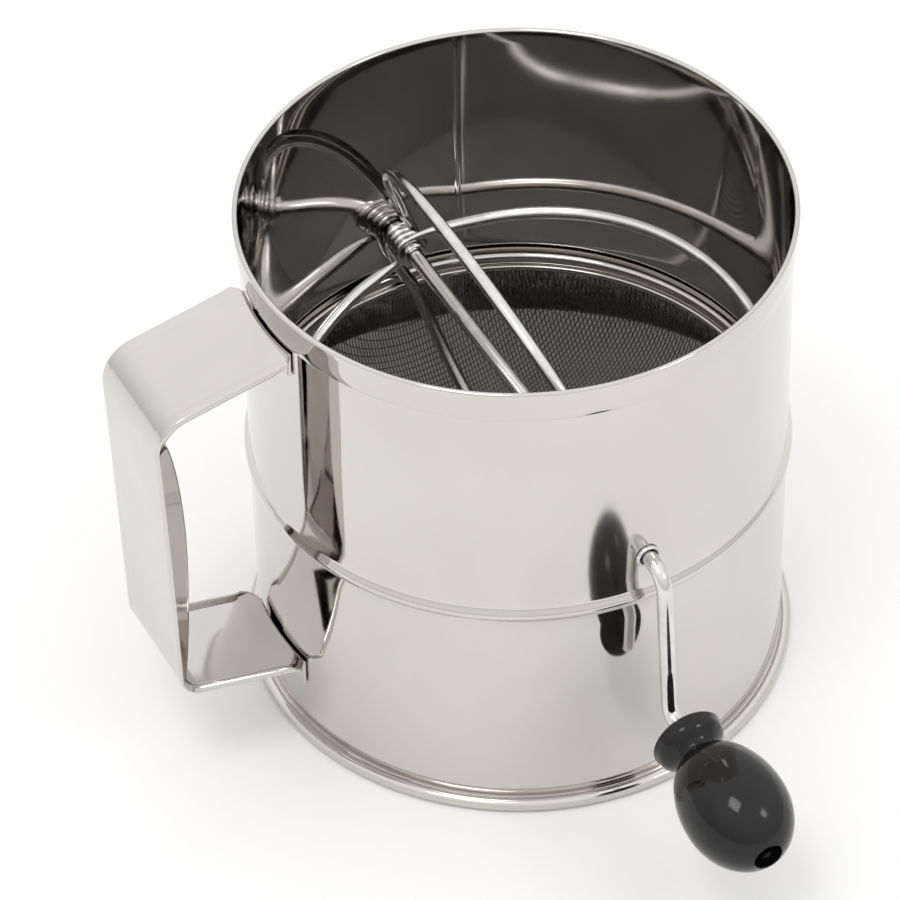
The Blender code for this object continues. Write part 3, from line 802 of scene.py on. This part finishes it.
# ---------------------------------------------------------------- handle

def top_height(reach):
    """Height of the upper arm's outer face at this distance from the can's axis."""
    return HANDLE_TOP_Z - (reach - BODY_RADIUS) * tan(HANDLE_TOP_SLOPE)


def low_height(reach):
    """The same for the lower arm."""
    return HANDLE_LOW_Z + (reach - BODY_RADIUS) * tan(HANDLE_LOW_SLOPE)


def handle_path(y):
    """The strap's outer face at this y, x being the reach out from the can's axis."""
    near = sqrt((BODY_RADIUS + WALL_GAP) ** 2 - y ** 2)
    far = near + HANDLE_SHEET
    corners = [
        (near, 0, top_height(near) - FLANGE_LENGTH),
        (near, 0, top_height(near)),
        (HANDLE_TOP_REACH, 0, top_height(HANDLE_TOP_REACH)),
        (HANDLE_LOW_REACH, 0, low_height(HANDLE_LOW_REACH)),
        (far, 0, low_height(far)),
        (far, 0, low_height(far) - FLANGE_LENGTH),
    ]
    radii = (FLANGE_BEND, HANDLE_TOP_BEND, HANDLE_LOW_BEND, FLANGE_BEND)
    path = filleted(corners, radii, (8, 20, 16, 8))
    steps = (3, 0, 14, 0, 30, 0, 14, 0, 3)
    full = [path[0]]
    marks = [1, 10, 31, 48, 57]
    for k in range(1, len(path)):
        start, end = full[-1][0], path[k][0]
        pieces = 1
        if k in marks:
            pieces = steps[2 * marks.index(k)]
        for i in range(1, pieces):
            full.append((start.lerp(end, i / pieces), (end - start).normalized()))
        full.append(path[k])
    return full


def handle_section(deep, bend):
    """(y, depth) round the strap, depth 0 on the outer face.

    Its edges are rolled in to the given depth, and where they are deep they lean in, most near the corner.
    """
    half = HANDLE_WIDTH / 2
    flat = half - bend
    outer = []
    for i in range(-22, 23):
        y = flat * i / 22
        crease = (half - abs(y) - CREASE_IN) / CREASE_HALF
        mark = CREASE_DEPTH * exp(-crease ** 2) if deep > HANDLE_SHEET * 1.5 else 0
        outer.append((y, mark))
    edge = [(flat + bend * sin(a), bend - bend * cos(a)) for a in [pi / 16 * i for i in range(1, 9)]]
    tip = min(HANDLE_EDGE_TIP, deep * 0.43)
    edge += [(half - tip + tip * cos(a), deep - tip + tip * sin(a)) for a in [pi / 10 * i for i in range(11)]]
    lip = half - 2 * tip
    fold = lip - 0.9 * bend - 0.2 * MM
    for i in range(1, 7):
        t = i / 6
        y = lip * (1 - t) ** 2 + 2 * lip * t * (1 - t) + fold * t ** 2
        low = (deep - tip) * (1 - t) ** 2 + 2 * HANDLE_SHEET * t * (1 - t) + HANDLE_SHEET * t ** 2
        edge.append((y, low))
    lean = EDGE_LEAN * (deep - HANDLE_SHEET) / (GRIP_DEPTH - HANDLE_SHEET) if deep > HANDLE_EDGE_DEPTH else 0
    leaning = []
    for y, depth in edge:
        share = max(depth - bend, 0) / (deep - bend)
        shift = lean * share * (1.4 - 0.4 * share) * max(1 - (half - y) / LEAN_REACH, 0)
        leaning.append((y - shift, depth))
    inner = [(fold * i / 10, HANDLE_SHEET) for i in range(9, -10, -1)]
    return outer + leaning + inner + [(-y, depth) for y, depth in leaning[::-1]]


def build_handle():
    """The strap: sections along its path, whose rolled edges deepen at the grip and stop at the flanges."""
    half = HANDLE_WIDTH / 2
    middle = handle_path(0)
    lengths = [0]
    for (before, _), (point, _) in zip(middle, middle[1:]):
        lengths.append(lengths[-1] + (point - before).length)
    bends = [k for k in range(1, len(middle)) if middle[k][1].dot(middle[k - 1][1]) > 0.9999]
    grip = [k for k in bends if abs(middle[k][1].z) > 0.99 and middle[k][0].x > HANDLE_LOW_REACH - 1 * MM]
    grip_start, grip_end = lengths[grip[0]] - SWELL_EARLY, lengths[grip[-1]]
    rings = []
    for k, length in enumerate(lengths):
        rolled = smoothstep(*EDGES_ROLLED, length) * smoothstep(*EDGES_ROLLED, lengths[-1] - length)
        share = min(max((length - grip_start) / (grip_end - grip_start), 0), 1)
        swell = max(sin(pi * share ** 0.8), 0) ** 0.75
        deep = HANDLE_SHEET + (HANDLE_EDGE_DEPTH - HANDLE_SHEET) * rolled
        deep += (GRIP_DEPTH - HANDLE_EDGE_DEPTH) * swell
        bend = HANDLE_PLAIN_BEND + (HANDLE_EDGE_BEND - HANDLE_PLAIN_BEND) * rolled
        bend += (GRIP_BEND - HANDLE_EDGE_BEND) * swell
        to_end = min(length, lengths[-1] - length)
        width = FLANGE_SHARE + (1 - FLANGE_SHARE) * smoothstep(*FLANGE_NARROW, to_end)
        ring = []
        for y, depth in handle_section(deep, bend):
            y *= width
            point, ahead = handle_path(y)[k]
            body = cos(min(abs(y) / half, 1) * pi / 2) * rolled
            sag = depth + (STRAP_SAG + STRAP_WANDER * wander(y * 120, length * 70, 0.7)) * body
            ring.append(Vector((-point.x - ahead.z * sag, y, point.z - ahead.x * sag)))
        rings.append(ring)
    piece("handle_strap", skinned(rings), STRAP, CAN, "can", ("handle_band",), 42)


def build_welds():
    """A shallow round dimple with a raised edge for each spot weld."""
    outline = [(WELD_RADIUS * share, height * MM) for share, height in WELD_OUTLINE]
    distance = BODY_RADIUS + WALL_GAP + HANDLE_SHEET + 0.02 * MM
    top_row = HANDLE_TOP_Z - FLANGE_LENGTH / 2 - FLANGE_BEND
    bottom_row = HANDLE_LOW_Z - FLANGE_LENGTH / 2
    for row, z in (("top", top_row), ("bottom", bottom_row)):
        for i in range(3):
            turn = asin((i - 1) * WELD_SPACING / distance)
            out = Vector((-cos(turn), sin(turn), 0))
            place = CAN @ Matrix.Translation(out * distance + Vector((0, 0, z)))
            place = place @ out.to_track_quat("Z", "Y").to_matrix().to_4x4()
            number = f"{row}_{i + 1}"
            nodes = (f"weld_{number}",)
            piece(f"spot_weld_{number}", domed(outline, 32), STEEL, place, "can", nodes)


# ---------------------------------------------------------------- floor, light, camera

def build_floor():
    mat, tree, shader = shader_of("pale_floor", (0.93, 0.93, 0.93), 0.6, 0.0)
    grain = noise(tree, 3, 3)
    tree.links.new(tint(tree, grain, (0.92, 0.92, 0.92), (0.94, 0.94, 0.94)), shader.inputs["Base Color"])
    size = 6.0
    mesh = bpy.data.meshes.new("studio_floor")
    corners = [(-size, -size, 0), (size, -size, 0), (size, size, 0), (-size, size, 0)]
    mesh.from_pydata(corners, [], [(0, 1, 2, 3)])
    mesh.materials.append(mat)
    added("studio_floor", mesh)


def softbox(name, place, target, size, power):
    """A square white light at a place, turned to its target."""
    light = bpy.data.lights.new(name, "AREA")
    light.shape = "RECTANGLE"
    light.size = light.size_y = size
    light.energy = power
    obj = added(name, light)
    obj.location = place
    obj.rotation_euler = (Vector(target) - Vector(place)).to_track_quat("-Z", "Y").to_euler()


def build_world():
    """Soft white surroundings, a little brighter overhead than at the horizon."""
    world = bpy.data.worlds.new("soft_studio")
    bpy.context.scene.world = world
    world.use_nodes = True
    tree = world.node_tree
    background = tree.nodes["Background"]
    background.inputs["Strength"].default_value = 1.0
    coords = tree.nodes.new("ShaderNodeTexCoord")
    split = tree.nodes.new("ShaderNodeSeparateXYZ")
    ramp = tree.nodes.new("ShaderNodeValToRGB")
    tree.links.new(coords.outputs["Generated"], split.inputs["Vector"])
    tree.links.new(split.outputs["Z"], ramp.inputs["Fac"])
    ramp.color_ramp.elements[0].position = 0.0
    ramp.color_ramp.elements[0].color = (0.76, 0.755, 0.75, 1)
    ramp.color_ramp.elements[1].position = 0.75
    ramp.color_ramp.elements[1].color = (1.15, 1.145, 1.14, 1)
    tree.links.new(ramp.outputs["Color"], background.inputs["Color"])


def build_camera():
    """The camera stands in front of the can's crank side, to the handle's side of it, looking down."""
    elevation, pan, pitch, roll = (radians(v) for v in CAMERA_ANGLES)
    back = Vector((0, -CAMERA_DISTANCE * cos(elevation), CAMERA_DISTANCE * sin(elevation)))
    ahead = Vector((0, cos(elevation), -sin(elevation)))
    right = Vector((1, 0, 0))
    up = right.cross(ahead)
    ahead, right = (Matrix.Rotation(pan, 3, up) @ v for v in (ahead, right))
    ahead, up = (Matrix.Rotation(pitch, 3, right) @ v for v in (ahead, up))
    right, up = (Matrix.Rotation(roll, 3, ahead) @ v for v in (right, up))
    frame_axes = Matrix((right, up, -ahead)).transposed().to_4x4()
    camera = bpy.data.cameras.new("camera")
    camera.sensor_width = 36
    camera.lens = CAMERA_LENS
    camera.clip_end = 50
    obj = added("camera", camera)
    obj.matrix_world = CAN @ Matrix.Rotation(-CAMERA_TURN, 4, "Z") @ Matrix.Translation(back) @ frame_axes
    bpy.context.scene.camera = obj


build_shell()
build_ring()
build_cloth()
build_bearings()
build_rod()
build_agitator()
build_knob()
build_handle()
build_welds()
build_floor()
build_world()
softbox("overhead_softbox", (-0.6, -0.35, 1.7), (0, 0, 0.05), 0.55, 4.5)
softbox("front_softbox", (0.9, -1.1, 1.3), (0, 0, 0.08), 0.35, 2)
build_camera()
bpy.context.scene.view_settings.view_transform = "Standard"
